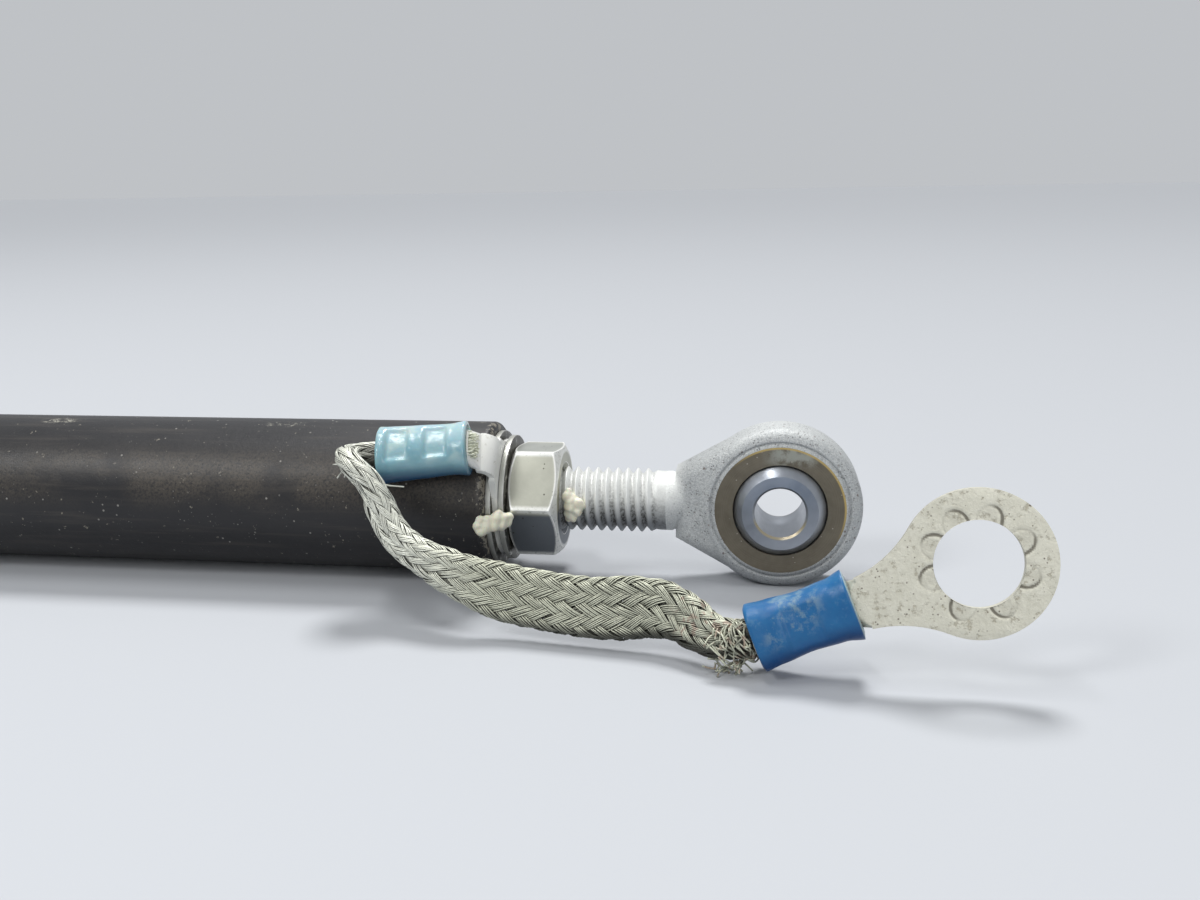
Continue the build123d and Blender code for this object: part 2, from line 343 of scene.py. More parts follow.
def black_enamel():
    """Black paint with a dusty band on its flank that is also a painted highlight, painted shade low
    down, chipped ends, dust and two scuffs.
    """
    finish = Finish("black_enamel", Specular_IOR_Level=0.45)
    along, across, up = finish.axes()
    grain = finish.noise(0.3, 4.0, 0.7)
    streaks = finish.noise(1.0, 3.0, 0.6, finish.stretched((0.06, 1.0, 1.0)))
    cloud = finish.noise(7.0, 3.0, 0.6)
    dust = finish.specks(1.3, 0.13) * finish.step(finish.noise(2.6), 0.5, 0.62)
    grit = finish.specks(0.55, 0.16) * finish.step(finish.noise(4.0), 0.55, 0.7)
    near_wear = finish.step(along, tube_end_x - 1.9, tube_end_x - 0.2)
    far_wear = finish.step(along, far_tube_end_x + 1.9, far_tube_end_x + 0.2)
    end_wear = near_wear + far_wear * 0.6
    chips = finish.step(finish.noise(0.8, 4.0, 0.65) + end_wear * 0.16, 0.66, 0.72)
    # Partly dust, partly a painted highlight: a brownish band painted along the flank where a lamp's
    # reflection lies
    dust_and_sheen = finish.step(up, -1.0, 4.0) * (1 - finish.step(up, 4.8, 8.0))
    dust_and_sheen = dust_and_sheen * finish.step(finish.noise(11.0, 3.0, 0.6), 0.36, 0.60) * finish.step(grain, 0.30, 0.62)
    # Painted shade: the tube is painted darker towards its bottom
    painted_shade_below = 1 - finish.step(up, -8.8, -5.5)
    scuffs = 0.0
    for middle in (-61.6, -92.5):
        scuffs = 1 - finish.step(finish.off(along, middle), 1.2, 3.0) + scuffs
    scuffs = scuffs * (1 - finish.step(finish.off(across, -1.6), 0.3, 1.0))
    scuffs = scuffs * finish.step(up, 0.0, 2.0) * finish.step(grain, 0.42, 0.60)
    scuffs = scuffs * finish.step(finish.noise(1.1, 3.0, 0.7), 0.44, 0.58)
    finish.paint(
        finish.mix(cloud, (0.006, 0.006, 0.008), (0.019, 0.018, 0.019)),
        (finish.step(streaks, 0.5, 0.75) * 0.5, (0.062, 0.054, 0.047)),
        (dust_and_sheen * 0.65, (0.125, 0.105, 0.080)),
        (painted_shade_below * 0.8, (0.002, 0.002, 0.003)),
        (chips * 0.8, (0.33, 0.30, 0.24)),
        ((dust + grit * 0.7) * 0.6, (0.55, 0.53, 0.48)),
        (scuffs * 0.7, (0.52, 0.50, 0.42)),
    )
    gloss = 0.26 + cloud * 0.12 + streaks * 0.12 + dust * 0.3 + grain * 0.10
    finish.set("Roughness", gloss + painted_shade_below * 0.2)
    finish.bump(finish.noise(0.9, 3.0) + grain * 0.7 + dust * 0.5, 0.035, 0.8)
    return finish.material


def forged_zinc():
    """The rough forged eye: pale crumbs, dark pits, a little rust, a painted highlight on the neck,
    brightest on top, and painted shade low down.
    """
    finish = Finish("forged_zinc", metallic=0.4)
    along, _, up = finish.axes()
    grain = finish.noise(0.30, 5.0, 0.75)
    crumbs = finish.noise(0.16, 2.0, 0.6)
    broad = finish.noise(3.0, 3.0, 0.6)
    pits = finish.specks(0.34, 0.34) * finish.step(finish.noise(1.1), 0.47, 0.60)
    rust = finish.specks(0.9, 0.22) * finish.step(finish.noise(2.0, 3.0), 0.50, 0.62)
    # Painted highlight: the neck is painted bright, most on its upper side
    neck = 1 - finish.step(finish.ends_alike(along), shank_end_x + 0.3, shank_end_x + 2.4)
    neck = neck * (0.3 + finish.step(up, -1.0, 2.0) * 0.5)
    # Painted shade: the eye is painted darker towards its bottom
    painted_shade_below = 1 - finish.step(up, -9.0, -3.0)
    finish.paint(
        finish.mix(broad, (0.42, 0.44, 0.45), (0.60, 0.62, 0.61)),
        (finish.step(crumbs, 0.38, 0.66) * 0.6, (0.80, 0.81, 0.79)),
        (finish.step(grain, 0.53, 0.68) * 0.5, (0.16, 0.155, 0.15)),
        (pits * 0.62, (0.09, 0.08, 0.075)),
        (rust * 0.7, (0.14, 0.09, 0.07)),
        (neck, (0.90, 0.91, 0.88)),
        (painted_shade_below * 0.35, (0.16, 0.17, 0.19)),
    )
    finish.set("Roughness", 0.46 + grain * 0.24)
    finish.bump(crumbs + grain - pits * 0.8, 0.07, 0.9)
    return finish.material


def thread_zinc():
    """The thread: painted shade on its lower side, and roots painted dark with grime and painted shade,
    more towards the bottom.
    """
    finish = Finish("thread_zinc", metallic=0.4)
    _, across, up = finish.axes()
    radius = finish.radius(across, up)
    root = 1 - finish.step(radius, thread_root_radius + 0.15, thread_crest_radius - 0.15)
    # Painted shade: the thread is painted darker on its lower side
    painted_shade_below = 1 - finish.step(up, -2.8, 1.2)
    lower = 1 - finish.step(up, -2.4, 2.6)
    grain = finish.noise(0.4, 4.0, 0.7)
    # Partly grime, partly painted shade: the roots are painted dark, more so towards the bottom
    root_grime_and_shade = root * (0.45 + finish.step(grain, 0.46, 0.56) * 0.53) * (0.35 + lower * 0.65)
    finish.paint(
        finish.mix(grain, (0.74, 0.75, 0.72), (0.96, 0.97, 0.94)),
        (painted_shade_below * 0.82, (0.15, 0.165, 0.19)),
        (root_grime_and_shade, (0.045, 0.041, 0.034)),
    )
    finish.set("Roughness", 0.38 + grain * 0.22)
    finish.bump(grain, 0.04, 0.7)
    return finish.material


def bronze_race():
    """The turned race: brown bronze, a painted yellow highlight along the rim on its lit side, and a
    grey patch on top.
    """
    finish = Finish("bronze_race", metallic=0.8)
    across, _, up = finish.axes()
    radius = finish.radius(across, up)
    cloud = finish.noise(1.6, 5.0, 0.65)
    turning = finish.node("ShaderNodeCombineXYZ", X=radius * MM)
    lathe = finish.noise(0.12, 3.0, 0.6, turning)
    specks = finish.specks(0.9, 0.10)
    # Painted highlight: a yellow glint painted along the rim on the lit side
    lit_side = finish.step(up + across * 0.7, 0.5, 6.0)
    rim = finish.step(radius, race_radius - 0.30, race_radius - 0.15) * lit_side
    patch = finish.step(up, 5.0, 6.4) * finish.step(across, -2.6, 0.0)
    patch = patch * (1 - finish.step(across, 3.0, 5.0)) * finish.step(cloud, 0.36, 0.56)
    finish.paint(
        finish.mix(cloud, (0.12, 0.105, 0.075), (0.25, 0.22, 0.17)),
        (finish.step(lathe, 0.45, 0.7) * 0.3, (0.27, 0.24, 0.19)),
        (patch * 0.8, (0.42, 0.43, 0.38)),
        (rim * 0.9, (0.62, 0.46, 0.18)),
        (specks * 0.7, (0.6, 0.56, 0.5)),
    )
    finish.set("Roughness", 0.38 + cloud * 0.2)
    finish.bump(lathe + cloud, 0.02, 0.4)
    return finish.material


def bearing_steel():
    """The ground ball, with a brown line painted along the lower lip of its bore."""
    finish = Finish("bearing_steel", metallic=1.0)
    across, depth, up = finish.axes()
    radius = finish.radius(across, up)
    # A brown line painted along the lower lip of the bore
    lip = 1 - finish.step(radius, bore_radius + 0.18, bore_radius + 0.34)
    lip = lip * (1 - finish.step(up, -1.6, -0.4))
    brown_lip_line = lip * finish.step(finish.off(depth, 0.0), ball_half_width - 0.4, ball_half_width - 0.2)
    fine = finish.noise(0.5, 4.0, 0.6, finish.stretched((1.0, 0.2, 1.0)))
    smear = finish.noise(2.4, 3.0, 0.6)
    finish.paint(
        finish.mix(smear, (0.2914, 0.31, 0.341), (0.47, 0.50, 0.55)),
        (brown_lip_line * 0.8, (0.50, 0.42, 0.26)),
    )
    finish.set("Roughness", 0.20 + fine * 0.16 + smear * 0.1)
    finish.bump(fine, 0.01, 0.4)
    return finish.material


def nut_plating():
    """Dull nut flats, with painted shade low down and on the top flat, and bright at the corners and
    along the cone's edge, which is wear and a painted highlight.
    """
    finish = Finish("nut_plating", metallic=0.8)
    along, across, up = finish.axes()
    along = finish.ends_alike(along)
    radius = finish.radius(across, up)
    cone = (radius - nut_rim_radius) * tan(nut_rim_angle)
    to_cone = finish.math("MINIMUM", nut_end_x - along - cone, along - nut_start_x - cone)
    # Partly wear, partly a painted highlight: the corners and the cone's edge are painted bright
    worn = finish.step(radius, nut_corner_radius - 0.34, nut_corner_radius - 0.11)
    worn = worn + 1 - finish.step(to_cone, 0.08, 0.30)
    cloud = finish.noise(2.4, 4.0, 0.6)
    fine = finish.noise(0.4, 3.0, 0.6)
    stains = finish.specks(1.1, 0.13) * finish.step(finish.noise(2.2), 0.42, 0.5)
    # Painted shade: the lower flats are painted darker and bluer, and the top flat darker too
    painted_shade_below = 1 - finish.step(up, -0.5, 0.1)
    top_flat_shade = finish.step(up, 6.1, 6.3)
    finish.paint(
        finish.mix(cloud, (0.37, 0.37, 0.31), (0.56, 0.56, 0.48)),
        (painted_shade_below * 0.8, (0.09, 0.11, 0.15)),
        (top_flat_shade * 0.35, (0.24, 0.27, 0.31)),
        (stains * 0.85, (0.06, 0.055, 0.04)),
        (worn * finish.step(fine, 0.2, 0.5) * 0.75, (0.94, 0.94, 0.90)),
    )
    finish.set("Roughness", 0.36 + cloud * 0.14 + fine * 0.10)
    finish.bump(fine, 0.03, 0.5)
    return finish.material


def bright_edge():
    """Corners worn to bright metal and painted as a highlight, with grime and painted shade where the
    clamped pieces meet.
    """
    finish = Finish("bright_edge", metallic=0.25)
    wear = finish.noise(0.6, 3.0, 0.6)
    # Partly wear, partly a painted highlight: the corners are painted nearly white
    finish.paint(
        finish.mix(wear, (0.86, 0.86, 0.82), (0.98, 0.98, 0.96)),
        # Grime and painted shade in the joints
        (finish.joint_grime_and_shade() * 0.92, (0.05, 0.046, 0.036)),
    )
    finish.set("Roughness", 0.28 + wear * 0.2)
    return finish.material


def washer_plating():
    """Turned washers, with grime and painted shade where they meet their neighbours."""
    finish = Finish("washer_plating", metallic=0.9)
    cloud = finish.noise(1.6, 4.0, 0.6)
    rings = finish.noise(0.25, 2.0, 0.5, finish.stretched((1.0, 0.3, 0.3)))
    finish.paint(
        finish.mix(cloud, (0.36, 0.36, 0.32), (0.64, 0.64, 0.59)),
        # Grime and painted shade in the joints
        (finish.joint_grime_and_shade() * 0.92, (0.05, 0.046, 0.036)),
    )
    finish.set("Roughness", 0.28 + rings * 0.2)
    finish.bump(rings, 0.02, 0.4)
    return finish.material


def dull_tin():
    """The free ring: dull, with stains and pits, and painted shade in its tooth marks, darker on one
    side.
    """
    finish = Finish("dull_tin", metallic=0.55)
    cloud = finish.noise(2.2, 5.0, 0.7)
    fine = finish.noise(0.35, 4.0, 0.7)
    stain = finish.step(finish.noise(0.8, 6.0, 0.75), 0.54, 0.66)
    specks = finish.specks(0.55, 0.2) * finish.step(finish.noise(1.4), 0.46, 0.58)
    # Painted shade: the tooth marks are painted dark, as deep as they are pressed, so darker on one side
    pressed = finish.step(finish.attribute("pressed"), 0.1, 0.8)
    finish.paint(
        finish.mix(cloud, (0.58, 0.56, 0.45), (0.86, 0.84, 0.72)),
        (finish.step(fine, 0.45, 0.7) * 0.35, (0.88, 0.86, 0.76)),
        (stain * 0.55, (0.34, 0.29, 0.19)),
        (specks * 0.8, (0.10, 0.07, 0.045)),
        (pressed * 0.85, (0.13, 0.115, 0.085)),
    )
    finish.set("Roughness", 0.36 + fine * 0.24)
    finish.bump(fine + cloud - stain * 0.4, 0.07, 0.8)
    return finish.material


def highlit_tin():
    """The clamped terminal's tongue: pale tin painted nearly white as a painted highlight, lighter than
    the free ring's tin, with a few stains.
    """
    finish = Finish("highlit_tin")
    cloud = finish.noise(1.8, 4.0, 0.65)
    stain = finish.step(finish.noise(0.8, 5.0, 0.72), 0.58, 0.70)
    # Painted highlight: the tongue's tin is painted nearly white
    finish.paint(
        finish.mix(cloud, (0.95, 0.95, 0.88), (1.0, 1.0, 0.97)),
        (stain * 0.5, (0.40, 0.37, 0.27)),
    )
    finish.set("Roughness", 0.30 + cloud * 0.2)
    finish.bump(cloud, 0.04, 0.5)
    return finish.material


def tinned_wire():
    """The braid's wires: a painted highlight towards the fold, coppery near the free end, and painted
    shade deep in the weave.
    """
    finish = Finish("tinned_wire", metallic=0.3)
    along = finish.axes()[0]
    cloud = finish.noise(1.8, 4.0, 0.65)
    fine = finish.noise(0.35, 3.0, 0.6)
    # Painted highlight: the wires are painted brighter towards the fold, where the leg catches the light
    bright = 1 - finish.step(along, -43.0, -30.0)
    copper = finish.step(finish.noise(0.7, 2.0), 0.54, 0.62) * finish.step(along, -12.0, -10.0)
    # The darkening that the braid's mesh keeps: mostly painted shade in the weave, the fold's hollow and
    # the underside
    wire_darkening = finish.step(finish.attribute("wire_darkening"), 0.08, 0.75)
    finish.paint(
        finish.mix(cloud, (0.53, 0.54, 0.43), (0.84, 0.86, 0.68)),
        (bright * 0.85, (0.96, 0.97, 0.86)),
        (copper * 0.6, (0.52, 0.34, 0.27)),
        (finish.step(fine, 0.56, 0.72) * 0.5, (0.22, 0.20, 0.14)),
        (wire_darkening * 0.94, (0.030, 0.030, 0.024)),
    )
    finish.set("Roughness", 0.34 + fine * 0.2)
    return finish.material


def bare_copper():
    finish = Finish("bare_copper", metallic=0.9)
    cloud = finish.noise(1.5, 3.0, 0.6)
    finish.paint(finish.mix(cloud, (0.42, 0.22, 0.13), (0.70, 0.42, 0.27)))
    finish.set("Roughness", 0.3 + cloud * 0.2)
    return finish.material


def turned_aluminium():
    finish = Finish("turned_aluminium", metallic=0.9)
    rings = finish.noise(0.3, 2.0, 0.5, finish.stretched((1.0, 0.1, 0.1)))
    finish.paint(finish.mix(rings, (0.55, 0.56, 0.57), (0.72, 0.73, 0.74)))
    finish.set("Roughness", 0.3 + rings * 0.2)
    return finish.material


def pale_nylon():
    """The clamped sleeve: milky blue, with painted shade low down, a painted highlight on top, painted
    cream reflections on its upper part, and pale where it is pressed thin.
    """
    finish = Finish("pale_nylon", Subsurface_Weight=0.2, Subsurface_Scale=1.0 * MM, IOR=1.5)
    _, _, up = finish.axes()
    cloud = finish.noise(2.2, 3.0, 0.6)
    fine = finish.noise(0.5, 3.0, 0.6)
    # Painted reflection: cream patches painted on the upper part, mixed with the paleness where the wall
    # is pressed thin
    cream = finish.step(finish.noise(2.4, 2.0, 0.5), 0.44, 0.66) * finish.step(up, 6.6, 9.0)
    thin = cream * 0.5 + finish.attribute("thin") * 0.35
    # Painted shade low down and a painted highlight on top
    painted_shade_below = 1 - finish.step(up, 5.0, 7.6)
    top = finish.step(up, 8.8, 11.2)
    finish.paint(
        finish.mix(cloud, (0.17, 0.38, 0.47), (0.34, 0.58, 0.63)),
        (painted_shade_below, (0.03, 0.11, 0.23)),
        (top * 0.6, (0.62, 0.82, 0.86)),
        (thin, (0.68, 0.80, 0.74)),
    )
    finish.set("Roughness", 0.10 + fine * 0.12)
    finish.bump(cloud + fine * 0.3, 0.10, 0.6)
    return finish.material


def blue_vinyl():
    """The free sleeve: opaque blue, rubbed and grimy on top, with painted shade low down and a pale lip.
    """
    finish = Finish("blue_vinyl", Subsurface_Weight=0.1, Subsurface_Scale=0.8 * MM, IOR=1.5)
    along, _, up = finish.axes()
    cloud = finish.noise(3.0, 4.0, 0.65)
    fine = finish.noise(0.5, 4.0, 0.7)
    dust = finish.step(finish.noise(1.4, 5.0, 0.72), 0.52, 0.68)
    above_axis = up - along * 0.402 + 4.55
    upper = finish.step(above_axis, -2.0, 0.4)
    # Painted shade: darker below the sleeve's axis
    painted_shade_below = 1 - finish.step(above_axis, -3.0, -0.6)
    grime = finish.step(finish.noise(2.6, 5.0, 0.7), 0.46, 0.62)
    grime = grime * (1 - finish.step(along, 2.2, 4.2)) * finish.step(along, -2.4, -0.6)
    lip = finish.step(finish.attribute("lip"), 0.3, 0.7)
    finish.paint(
        finish.mix(cloud, (0.0, 0.10, 0.32), (0.02, 0.20, 0.44)),
        (painted_shade_below * 0.75, (0.0, 0.035, 0.17)),
        (dust * upper * 0.25, (0.22, 0.36, 0.46)),
        (grime * upper * 0.55, (0.36, 0.47, 0.46)),
        (lip * 0.8, (0.55, 0.70, 0.70)),
    )
    finish.set("Roughness", 0.34 + dust * 0.3 + grime * 0.2)
    finish.bump(fine + cloud, 0.05, 0.5)
    return finish.material


def torque_lacquer():
    """Dried cream lacquer with a little grime."""
    finish = Finish("torque_lacquer", Subsurface_Weight=0.15, Subsurface_Scale=0.5 * MM)
    cloud = finish.noise(0.9, 4.0, 0.6)
    grime = finish.step(finish.noise(0.5, 4.0, 0.7), 0.58, 0.75)
    finish.paint(
        finish.mix(cloud, (0.94, 0.89, 0.64), (1.0, 0.98, 0.86)),
        (grime * 0.4, (0.48, 0.40, 0.22)),
    )
    finish.set("Roughness", 0.45 + cloud * 0.2)
    finish.bump(cloud, 0.1, 0.6)
    return finish.material


finishes = {
    "black_enamel": black_enamel(),
    "plated_steel": forged_zinc(),
    "thread": thread_zinc(),
    "bronze_race": bronze_race(),
    "bearing_steel": bearing_steel(),
    "nut_plating": nut_plating(),
    "bright_edge": bright_edge(),
    "washer_plating": washer_plating(),
    "tinned_copper": dull_tin(),
    "highlit_tin": highlit_tin(),
    "tinned_braid": tinned_wire(),
    "bare_copper": bare_copper(),
    "aluminium_plug": turned_aluminium(),
    "pale_blue_nylon": pale_nylon(),
    "blue_vinyl": blue_vinyl(),
    "torque_lacquer": torque_lacquer(),
}

# Every node that stays takes the finish of its own material slot
for part in frame["record"]["subparts"]:
    mesh = nodes[part["node"]].data
    mesh.materials.clear()
    mesh.materials.append(finishes[part["material_slot"]])


def add_piece(name, mesh, body, slot, *materials):
    """A piece that rides on a body, in the finish of its slot or in the ones that are named."""
    piece = bpy.data.objects.new(name, mesh)
    bpy.context.scene.collection.objects.link(piece)
    for material in materials or (slot,):
        mesh.materials.append(finishes[material])
    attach(piece, body)
    return piece


def finished_mesh(shape, name, smooth=True):
    """The mesh of a shape, which is freed."""
    mesh = bpy.data.meshes.new(name)
    shape.to_mesh(mesh)
    shape.free()
    for face in mesh.polygons:
        face.use_smooth = smooth
    return mesh


def wrapped(columns, rows, surface):
    """A grid laid on surface(u, v), with u and v from 0 to 1, its meeting edges joined."""
    shape = bmesh.new()
    bmesh.ops.create_grid(shape, x_segments=columns, y_segments=rows, size=0.5)
    for vertex in shape.verts:
        vertex.co = surface(vertex.co.x + 0.5, vertex.co.y + 0.5) * MM
    bmesh.ops.remove_doubles(shape, verts=shape.verts, dist=1e-6)
    bmesh.ops.recalc_face_normals(shape, faces=shape.faces)
    return shape


def node_copy(node):
    """A copy of a CAD node's shape, its loose triangles joined."""
    shape = bmesh.new()
    shape.from_mesh(nodes[node].data)
    bmesh.ops.remove_doubles(shape, verts=shape.verts, dist=1e-7)
    return shape


def cut_off(shape, x, direction):
    """Takes away what lies beyond x along the rod, that way, and closes the cut."""
    bmesh.ops.bisect_plane(
        shape,
        geom=shape.verts[:] + shape.edges[:] + shape.faces[:],
        plane_co=(x * MM, 0, 0),
        plane_no=(direction, 0, 0),
        clear_outer=True,
    )
    rim = [edge for edge in shape.edges if edge.is_boundary]
    bmesh.ops.holes_fill(shape, edges=rim, sides=0)


def smoothstep(value, low, high):
    """0 below low, 1 above high, and smooth between."""
    share = min(max((value - low) / (high - low), 0.0), 1.0)
    return share * share * (3 - 2 * share)


def threaded_shank():
    """The shank with its thread: one ridge, spun along the rod and faded into the neck."""
    crest_side = thread_crest_radius - crest_drop
    profile = (
        (0.0, thread_root_radius),
        (root_flat, thread_root_radius),
        (0.5 - crest_flat, crest_side),
        (0.5, thread_crest_radius),
        (0.5 + crest_flat, crest_side),
        (1.0 - root_flat, thread_root_radius),
        (1.0, thread_root_radius),
    )
    turns = int((shank_end_x - shank_tip_x) / thread_pitch) + 3
    start = shank_tip_x - thread_pitch
    shape = bmesh.new()
    line = [
        shape.verts.new(Vector((start + share * thread_pitch, radius, 0.0)) * MM)
        for share, radius in profile
    ]
    edges = [shape.edges.new(pair) for pair in zip(line, line[1:])]
    bmesh.ops.spin(
        shape,
        geom=line + edges,
        cent=(0, 0, 0),
        axis=(1, 0, 0),
        dvec=(thread_pitch * MM / thread_steps, 0, 0),
        angle=2 * pi * turns,
        steps=thread_steps * turns,
        use_merge=False,
    )
    bmesh.ops.remove_doubles(shape, verts=shape.verts, dist=1e-6)
    for vertex in shape.verts:
        radius = sqrt(vertex.co.y**2 + vertex.co.z**2) / MM
        fade = smoothstep(vertex.co.x / MM, thread_fade_start, thread_fade_end)
        wanted = radius + (neck_radius - radius) * fade
        vertex.co.y *= wanted / radius
        vertex.co.z *= wanted / radius
    cut_off(shape, shank_end_x, 1)
    cut_off(shape, shank_tip_x, -1)
    bmesh.ops.recalc_face_normals(shape, faces=shape.faces)
    for face in shape.faces:
        face.material_index = 1
    return shape


def add_rod_end(side, turned):
    """The forged head of a rod end, with a real thread on its shank."""
    head = node_copy("near_rod_end")
    cut_off(head, head_cut_x, -1)
    shank = threaded_shank()
    shank_mesh = bpy.data.meshes.new("shank")
    shank.to_mesh(shank_mesh)
    shank.free()
    head.from_mesh(shank_mesh)
    bpy.data.meshes.remove(shank_mesh)
    if turned:
        middle = Matrix.Translation((2 * rod_middle_x * MM, 0, 0))
        head.transform(middle @ Matrix.Rotation(pi, 4, "Z"))
    mesh = finished_mesh(head, f"{side}_rod_end_threaded")
    piece = add_piece(mesh.name, mesh, f"{side}_end", "plated_steel", "plated_steel", "thread")
    mesh.set_sharp_from_angle(angle=radians(40))
    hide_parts(f"{side}_rod_end")


add_rod_end("near", False)
add_rod_end("far", True)


def barrel_axes():
    """Where the two barrels begin, their own direction, and the way across and out of each."""
    outward = Vector((0, -cos(tongue_angle), sin(tongue_angle)))
    around = Vector((0, sin(tongue_angle), cos(tongue_angle)))
    clamped = Vector((cos(barrel_skew), 0, 0)) + around * sin(barrel_skew)
    across = around * cos(barrel_skew) - Vector((sin(barrel_skew), 0, 0))
    plate_x = tube_end_x + washer_thickness - bend_radius
    clamped_end = Vector((plate_x, 0, 0)) + outward * (tube_radius + sleeve_height / 2 + sleeve_gap)
    clamped_start = clamped_end - clamped * (clamped_sleeve_length + plate_lead)
    side = free_direction.cross(Vector((0, 0, 1))).normalized()
    face = side * cos(free_lean) + side.cross(free_direction) * sin(free_lean)
    plate_offset = (barrel_height - plate_thickness) / 2
    free_reach = free_neck_length + free_sleeve_length
    free_start = ring_centre - free_direction * free_reach - face * plate_offset
    return (
        (clamped_start, clamped, across, outward),
        (free_start, free_direction, free_direction.cross(face), face),
    )


clamped_barrel, free_barrel = barrel_axes()

# The braid's route, as the rod's maker lays it
braid_route = [
    clamped_barrel[0] + clamped_barrel[1] * inside_crimp,
    clamped_barrel[0] - clamped_barrel[1] * clamped_lead,
    Vector((-49.1, -13.9, 7.9)),
    Vector((-45.9, -14.9, 5.5)),
    Vector((-44.6, -15.6, 2.2)),
    Vector((-42.6, -16.8, -0.5)),
    Vector((-39.1, -18.5, -1.9)),
    Vector((-34.6, -20.1, -3.4)),
    Vector((-29.7, -20.3, -4.9)),
    Vector((-24.7, -21.1, -5.4)),
    Vector((-19.0, -22.0, -5.7)),
    Vector((-11.4, -22.6, -4.7)),
    free_barrel[0] - free_barrel[1] * free_lead,
    free_barrel[0] + free_barrel[1] * inside_crimp,
]


def line_along(route, resolution):
    """Points along the smooth NURBS line that a route's points control."""
    curve = bpy.data.curves.new("route", "CURVE")
    curve.dimensions = "3D"
    curve.resolution_u = resolution
    spline = curve.splines.new("NURBS")
    spline.points.add(len(route) - 1)
    for point, place in zip(spline.points, route):
        point.co = (*(place * MM), 1.0)
    spline.order_u = 3
    spline.use_endpoint_u = True
    holder = bpy.data.objects.new("route", curve)
    mesh = bpy.data.meshes.new_from_object(holder)
    points = [vertex.co / MM for vertex in mesh.vertices]
    bpy.data.objects.remove(holder)
    bpy.data.meshes.remove(mesh)
    bpy.data.curves.remove(curve)
    return points


def evenly(points, count):
    """The same line cut into count equal steps."""
    reach = [0.0]
    for before, after in zip(points, points[1:]):
        reach.append(reach[-1] + (after - before).length)
    even = []
    index = 0
    for step in range(count + 1):
        wanted = reach[-1] * step / count
        while index < len(points) - 2 and reach[index + 1] < wanted:
            index += 1
        share = (wanted - reach[index]) / (reach[index + 1] - reach[index])
        even.append(points[index].lerp(points[index + 1], share))
    return even, reach[-1]


def between(stations, share):
    """A value between given stations of (share of the length, value), smoothly joined."""
    for (low, before), (high, after) in zip(stations, stations[1:]):
        if share <= high:
            return before + (after - before) * smoothstep(share, low, high)
    return stations[-1][1]


# Along the braid: its width, its thickness, how far its flat is turned and its wires' angle
width_stations = (
    (0.0, 3.1), (0.08, 3.2), (0.22, 3.5), (0.34, 3.6), (0.41, 4.6), (0.52, 6.0),
    (0.66, 6.1), (0.73, 6.4), (0.78, 5.9), (0.85, 4.8), (0.90, 4.0), (0.95, 3.5), (1.0, 3.1),
)
thickness_stations = (
    (0.0, 2.0), (0.12, 2.2), (0.35, 2.2), (0.50, 1.6), (0.76, 1.6), (0.88, 2.2), (1.0, 2.0),
)
turn_stations = (
    (0.0, 0.0), (0.12, 0.0), (0.17, -12.0), (0.24, -45.0), (0.35, -50.0), (0.50, -70.0),
    (0.85, -70.0), (1.0, -54.0),
)
angle_stations = (
    (0.0, 15.0), (0.30, 18.0), (0.45, 26.0), (0.55, 29.5), (0.80, 29.5), (0.90, 22.0), (1.0, 18.0),
)


class Braid:
    """The braid's middle line, and the frame and section at every step along it."""

    def __init__(self):
        self.points, self.length = evenly(line_along(braid_route, route_steps), wire_samples)
        self.tangents = []
        for index in range(len(self.points)):
            before = self.points[max(index - 1, 0)]
            after = self.points[min(index + 1, wire_samples)]
            self.tangents.append((after - before).normalized())
        self.across = [clamped_barrel[2]]
        for tangent in self.tangents[1:]:
            carried = self.across[-1]
            self.across.append((carried - tangent * carried.dot(tangent)).normalized())
        self.phase = [0.0]
        step = self.length / wire_samples
        for index in range(1, wire_samples + 1):
            width, thickness = self.section(index)
            girth = 2 * (width - thickness) + pi * thickness
            pitch = girth / tan(radians(between(angle_stations, index / wire_samples)))
            self.phase.append(self.phase[-1] + step / pitch)

    def section(self, index):
        share = index / wire_samples
        return between(width_stations, share), between(thickness_stations, share)

    def surface(self, index, turn, lift):
        """A point on the flat section, turn from 0 to 1 round it and lift above its skin."""
        width, thickness = self.section(index)
        radius = thickness / 2
        flat = width - thickness
        girth = 2 * flat + 2 * pi * radius
        along = (turn % 1.0) * girth
        if along < flat:
            flat_place, height = along - flat / 2, radius + lift
        elif along < flat + pi * radius:
            angle = (along - flat) / radius
            flat_place = flat / 2 + sin(angle) * (radius + lift)
            height = cos(angle) * (radius + lift)
        elif along < 2 * flat + pi * radius:
            flat_place, height = flat * 1.5 + pi * radius - along, -radius - lift
        else:
            angle = (along - 2 * flat - pi * radius) / radius
            flat_place = -flat / 2 - sin(angle) * (radius + lift)
            height = -cos(angle) * (radius + lift)
        tangent = self.tangents[index]
        turned = Matrix.Rotation(radians(between(turn_stations, index / wire_samples)), 3, tangent)
        across = turned @ self.across[index]
        return self.points[index] + across * flat_place + across.cross(tangent) * height


braid = Braid()


def wires_to_mesh(name, wires, radius):
    """Thin round wires as one mesh."""
    curve = bpy.data.curves.new(name, "CURVE")
    curve.dimensions = "3D"
    curve.bevel_depth = radius * MM
    curve.bevel_resolution = 1
    curve.use_fill_caps = True
    for wire in wires:
        spline = curve.splines.new("POLY")
        spline.points.add(len(wire) - 1)
        for point, place in zip(spline.points, wire):
            point.co = (*(place * MM), 1.0)
        spline.use_smooth = True
    holder = bpy.data.objects.new(name, curve)
    mesh = bpy.data.meshes.new_from_object(holder)
    mesh.name = name
    bpy.data.objects.remove(holder)
    bpy.data.curves.remove(curve)
    return mesh


